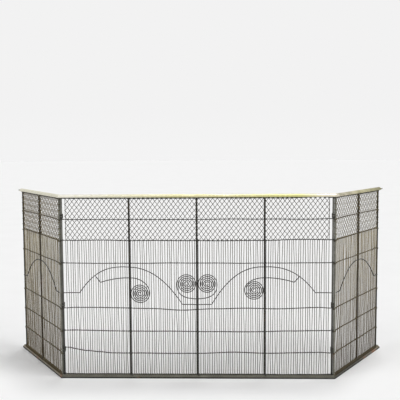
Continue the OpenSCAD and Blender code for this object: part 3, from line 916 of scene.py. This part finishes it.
# Bars and rails
BAR_IRON = iron(
    "bar_iron", (0.150, 0.146, 0.116), (0.230, 0.224, 0.184), (0.120, 0.080, 0.050), 0.66, 0.3
)
TOP_IRON = iron(
    "top_bar_iron", (0.190, 0.184, 0.150), (0.310, 0.300, 0.250), (0.150, 0.090, 0.050), 0.64, 0.3
)
WING_BAR = iron(
    "wing_bar_iron", (0.100, 0.090, 0.060), (0.160, 0.145, 0.100), (0.150, 0.080, 0.040), 0.56, 0.3
)
CORE_IRON = iron(
    "core_iron", (0.26, 0.255, 0.24), (0.42, 0.41, 0.38), (0.20, 0.14, 0.09), 0.66
)
BASE_IRON = iron(
    "base_iron", (0.080, 0.078, 0.061), (0.140, 0.136, 0.109), (0.105, 0.065, 0.038), 0.62, 0.35,
    foot=BASE_FOOT_PAINTED_SHADE,
)
LEFT_BASE = iron(
    "left_base_iron", (0.170, 0.148, 0.110), (0.285, 0.250, 0.190), (0.190, 0.090, 0.042), 0.54, 0.3,
    foot=BASE_FOOT_PAINTED_SHADE,
)
RIGHT_BASE = iron(
    "right_base_iron", (0.125, 0.108, 0.078), (0.215, 0.185, 0.135), (0.190, 0.090, 0.042), 0.54, 0.3,
    foot=BASE_FOOT_PAINTED_SHADE, stretches=[[(0.050, 0.046, 0.034), 0.70, 0.80]],
)
CENTRE_BRASS = brass(
    "centre_brass", (0.60, 0.565, 0.370), (0.51, 0.475, 0.245), (0.42, 0.385, 0.19), 0.57,
    [
        [(0.63, 0.61, 0.53), -0.5, -0.1],
        [(0.49, 0.47, 0.20), 0.34, 0.12],
        [(0.60, 0.56, 0.45), 0.52, 0.42],
    ],
)
LEFT_BRASS = brass(
    "left_brass", (0.74, 0.72, 0.61), (0.64, 0.61, 0.47), (0.42, 0.39, 0.25), 0.60
)
RIGHT_BRASS = brass(
    "right_brass", (0.50, 0.46, 0.29), (0.38, 0.35, 0.19), (0.20, 0.18, 0.09), 0.45,
    [[(0.60, 0.55, 0.44), 0.59, 0.70], [(0.24, 0.225, 0.11), 0.83, 0.75]],
)

# Uprights and hinges
UPRIGHT_IRON = iron(
    "upright_iron", (0.020, 0.019, 0.016), (0.045, 0.042, 0.034), (0.090, 0.050, 0.026), 0.62
)
CORNER_IRON = iron(
    "corner_iron", (0.095, 0.093, 0.080), (0.165, 0.162, 0.142), (0.110, 0.070, 0.042), 0.64, 0.4,
    low=(0.010, 0.009, 0.007),
)
WING_UPRIGHT = iron(
    "wing_upright_iron", (0.034, 0.027, 0.017), (0.066, 0.054, 0.035), (0.095, 0.055, 0.028), 0.58, 0.3,
    low=(0.030, 0.018, 0.009),
)
WORN_IRON = iron(
    "worn_iron", (0.140, 0.137, 0.112), (0.240, 0.236, 0.198), (0.140, 0.085, 0.050), 0.64, 0.3
)
PIN_IRON = iron(
    "pin_iron", (0.040, 0.039, 0.034), (0.085, 0.082, 0.072), (0.105, 0.056, 0.030), 0.60
)

# Wires
CENTRE_MESH = iron(
    "centre_mesh_wire", (0.020, 0.015, 0.006), (0.052, 0.040, 0.017), (0.085, 0.046, 0.018), 0.60, 0.3,
    foot=WIRE_FOOT_PAINTED_LIGHT,
)
# Painted light: the wings' mesh wires are far lighter than the centre's, standing in for the side
# lamps' light falling on the wings
LEFT_MESH = iron(
    "left_mesh_wire", (0.185, 0.156, 0.090), (0.380, 0.328, 0.205), (0.160, 0.095, 0.045), 0.60, 0.2,
    # Painted shade: the wires darken towards the floor, standing in for the floor's shadow seen through
    # the mesh
    low=(0.090, 0.062, 0.020), foot=WING_FEET,
)
RIGHT_MESH = iron(
    "right_mesh_wire", (0.165, 0.124, 0.046), (0.305, 0.238, 0.096), (0.150, 0.085, 0.030), 0.60, 0.2,
    # Painted shade: the wires darken towards the floor, standing in for the floor's shadow seen through
    # the mesh
    low=(0.045, 0.027, 0.005), foot=WING_FEET,
)
WING_LATTICE = iron(
    "wing_lattice_wire", (0.068, 0.047, 0.010), (0.142, 0.103, 0.026), (0.100, 0.056, 0.016), 0.60, 0.2
)
ROW_IRON = iron(
    "cross_wire", (0.010, 0.009, 0.006), (0.028, 0.025, 0.018), (0.055, 0.032, 0.017), 0.64, 0.2
)
WING_ROW = iron(
    "wing_cross_wire", (0.060, 0.048, 0.026), (0.110, 0.090, 0.052), (0.120, 0.068, 0.032), 0.60, 0.2
)
WRAP_IRON = iron(
    "wrap_wire", (0.010, 0.009, 0.007), (0.024, 0.022, 0.018), (0.040, 0.026, 0.016), 0.66, 0.2
)
SCROLL_IRON = iron(
    "scroll_wire", (0.008, 0.007, 0.005), (0.024, 0.021, 0.015), (0.050, 0.030, 0.016), 0.66, 0.2
)

# The first of these that a CAD node's name holds gives its material
NODE_MATERIALS = (
    ("centre_brass_rail", CENTRE_BRASS),
    ("left_brass_rail", LEFT_BRASS),
    ("right_brass_rail", RIGHT_BRASS),
    ("core_bar", CORE_IRON),
    ("top_bar", TOP_IRON),
    ("centre_base_bar", BAR_IRON),
    ("base_bar", WING_BAR),
    ("centre_base_rail", BASE_IRON),
    ("right_base_rail", RIGHT_BASE),
    ("left_base_rail", LEFT_BASE),
    ("centre_upright_1", CORNER_IRON),
    ("centre_upright_5", CORNER_IRON),
    ("centre_upright", UPRIGHT_IRON),
    ("upright_1", WORN_IRON),
    ("upright_3", UPRIGHT_IRON),
    ("upright", WING_UPRIGHT),
    ("hinge_forks", UPRIGHT_IRON),
    ("hinge_eyes", WORN_IRON),
    ("hinge_pins", PIN_IRON),
)

# By panel: the nodes that its wirework replaces, and the materials of its mesh, lattice and rows
WIREWORK = {
    "centre": ([f"centre_wirework_{i}" for i in (1, 2, 3, 4)], CENTRE_MESH, CENTRE_MESH, ROW_IRON),
    "left": ([f"left_wirework_{i}" for i in ("inner", "outer")], LEFT_MESH, WING_LATTICE, WING_ROW),
    "right": ([f"right_wirework_{i}" for i in ("inner", "outer")], RIGHT_MESH, WING_LATTICE, WING_ROW),
}


def dress_nodes():
    """Gives each CAD node its material, except those that the wires below replace."""
    for name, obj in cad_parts.items():
        for part, material in NODE_MATERIALS:
            if part in name:
                obj.data.materials.clear()
                obj.data.materials.append(material)
                break


def build_wirework():
    for panel, (nodes, mesh_iron, lattice_iron, row_iron) in WIREWORK.items():
        wire_piece(f"{panel}_cross_wires", panel, cross_wires(panel), row_iron, nodes)
        for i, node in enumerate(nodes):
            mesh, at_upright = vertical_wires(panel, i)
            wire_piece(f"{node}_verticals", panel, mesh, mesh_iron, [node])
            if at_upright:
                wire_piece(f"{node}_selvedge", panel, at_upright, ROW_IRON, [node])
        wire_piece(f"{panel}_lattice", panel, lattice_wires(panel), lattice_iron, nodes)
        wire_piece(f"{panel}_bar_wraps", panel, bar_wraps(panel), WRAP_IRON)


def scroll_piece(node, panel, flat):
    """One scroll, wave or arch wire, laid on its panel."""
    tube = sweep(laid(flat, PANELS[panel]["posts"]), SCROLL_R, 8)
    wire_piece(f"{node}_round", panel, [tube], SCROLL_IRON, [node])


def build_scrolls():
    left = outer_scroll(LEFT_SPIRAL_DROP, WAVE_LEFT_SHIFT) * [-1, 1] - [CENTRE_BAY_W, 0]
    right = outer_scroll(RIGHT_SPIRAL_DROP, 0) + [CENTRE_BAY_W, 0]
    scroll_piece("wave_wire", "centre", wave_path())
    scroll_piece("left_scroll_wire", "centre", left)
    scroll_piece("middle_scroll_wire", "centre", middle_scroll())
    scroll_piece("right_scroll_wire", "centre", right)
    for side in ("left", "right"):
        scroll_piece(f"{side}_arch_wire", side, wing_arch())


# Floor, backdrop, light and camera, in metres

FLOOR_R = 40
FLOOR_DARK = (0.885, 0.885, 0.885)
FLOOR_LIGHT = (0.905, 0.905, 0.905)

# Backdrop colours at the floor's edge and from the given height of the view direction upwards,
# and the strength of its even light
BACKDROP_LOW = (0.899, 0.898, 0.899)
BACKDROP = (0.889, 0.8875, 0.888)
BACKDROP_FADE = 0.05
FILL = 0.03

# Soft lights: [name, angle across, strength, tilt about x, y and z], in degrees
SOFTBOXES = [
    ["right_softbox", 50, 2.1, (52, 0, 62)],
    ["left_softbox", 44, 1.0, (54, 0, -52)],
    ["top_softbox", 14, 1.25, (-11, 5, 0)],
]

# The photograph's view: its side and focal length in pixels, the camera's sensor in millimetres,
# its angles, and its place from the middle upright's foot
PHOTO_PX = 400
FOCAL_PX = 660
SENSOR = 36
YAW, PITCH, ROLL = (math.radians(a) for a in (-1.493, 4.746, 0.322))
EYE = (0.0836, -2.6615, 0.9591)


def floor():
    m = material_nodes("pale_floor")
    colour = m.ramp(m.noise(scale=3, detail=3), (0.3, FLOOR_DARK), (0.7, FLOOR_LIGHT))
    rough = m.span(m.noise(scale=5, detail=2), 0.3, 0.7, 0.8, 0.9)
    m.principled(colour, rough, 0.0).inputs["Specular IOR Level"].default_value = 0.0
    bpy.ops.mesh.primitive_circle_add(vertices=96, radius=FLOOR_R, fill_type="NGON")
    ground = bpy.context.object
    ground.name = "studio_floor"
    ground.data.materials.append(m.owner)


def backdrop():
    """The studio's world, seen as a pale backdrop, with a faint even light of its own."""
    world = bpy.data.worlds.new("studio")
    bpy.context.scene.world = world
    m = Nodes(world, "ShaderNodeOutputWorld", "Generated")
    seen, fill = m.add("ShaderNodeBackground"), m.add("ShaderNodeBackground")
    shade = m.mix(m.span(m.axes["Z"], 0.0, BACKDROP_FADE), BACKDROP_LOW, BACKDROP)
    m.link(shade, seen.inputs["Color"])
    fill.inputs["Color"].default_value = (*WHITE, 1)
    fill.inputs["Strength"].default_value = FILL
    rays = m.add("ShaderNodeLightPath").outputs
    is_seen = m.larger(rays["Is Camera Ray"], rays["Is Glossy Ray"])
    is_seen = m.larger(is_seen, rays["Is Transmission Ray"])
    either = m.add("ShaderNodeMixShader")
    m.link(is_seen, either.inputs["Fac"])
    m.link(fill.outputs[0], either.inputs[1])
    m.link(seen.outputs[0], either.inputs[2])
    m.link(either.outputs[0], m.out.inputs["Surface"])


def light():
    for name, angle, energy, tilt in SOFTBOXES:
        sun = bpy.data.lights.new(name, "SUN")
        sun.angle = math.radians(angle)
        sun.energy = energy
        lamp = bpy.data.objects.new(name, sun)
        lamp.rotation_euler = [math.radians(a) for a in tilt]
        bpy.context.scene.collection.objects.link(lamp)


def camera():
    """The photograph's view, with x to the right, y up and z back along its axes."""
    ahead = Vector((math.sin(YAW) * math.cos(PITCH), math.cos(YAW) * math.cos(PITCH), -math.sin(PITCH)))
    right = Vector((math.cos(YAW), -math.sin(YAW), 0))
    down = ahead.cross(right)
    right_r = math.cos(ROLL) * right + math.sin(ROLL) * down
    down_r = -math.sin(ROLL) * right + math.cos(ROLL) * down
    turn = Matrix((right_r, -down_r, -ahead)).transposed()
    data = bpy.data.cameras.new("camera")
    data.sensor_width = SENSOR
    data.lens = FOCAL_PX / PHOTO_PX * SENSOR
    cam = bpy.data.objects.new("camera", data)
    cam.matrix_world = Matrix.Translation((EYE[0], EYE[1] - ORIGIN_Y * MM, EYE[2])) @ turn.to_4x4()
    bpy.context.scene.collection.objects.link(cam)
    bpy.context.scene.camera = cam


camera()
dress_nodes()
build_wirework()
build_scrolls()
floor()
backdrop()
light()
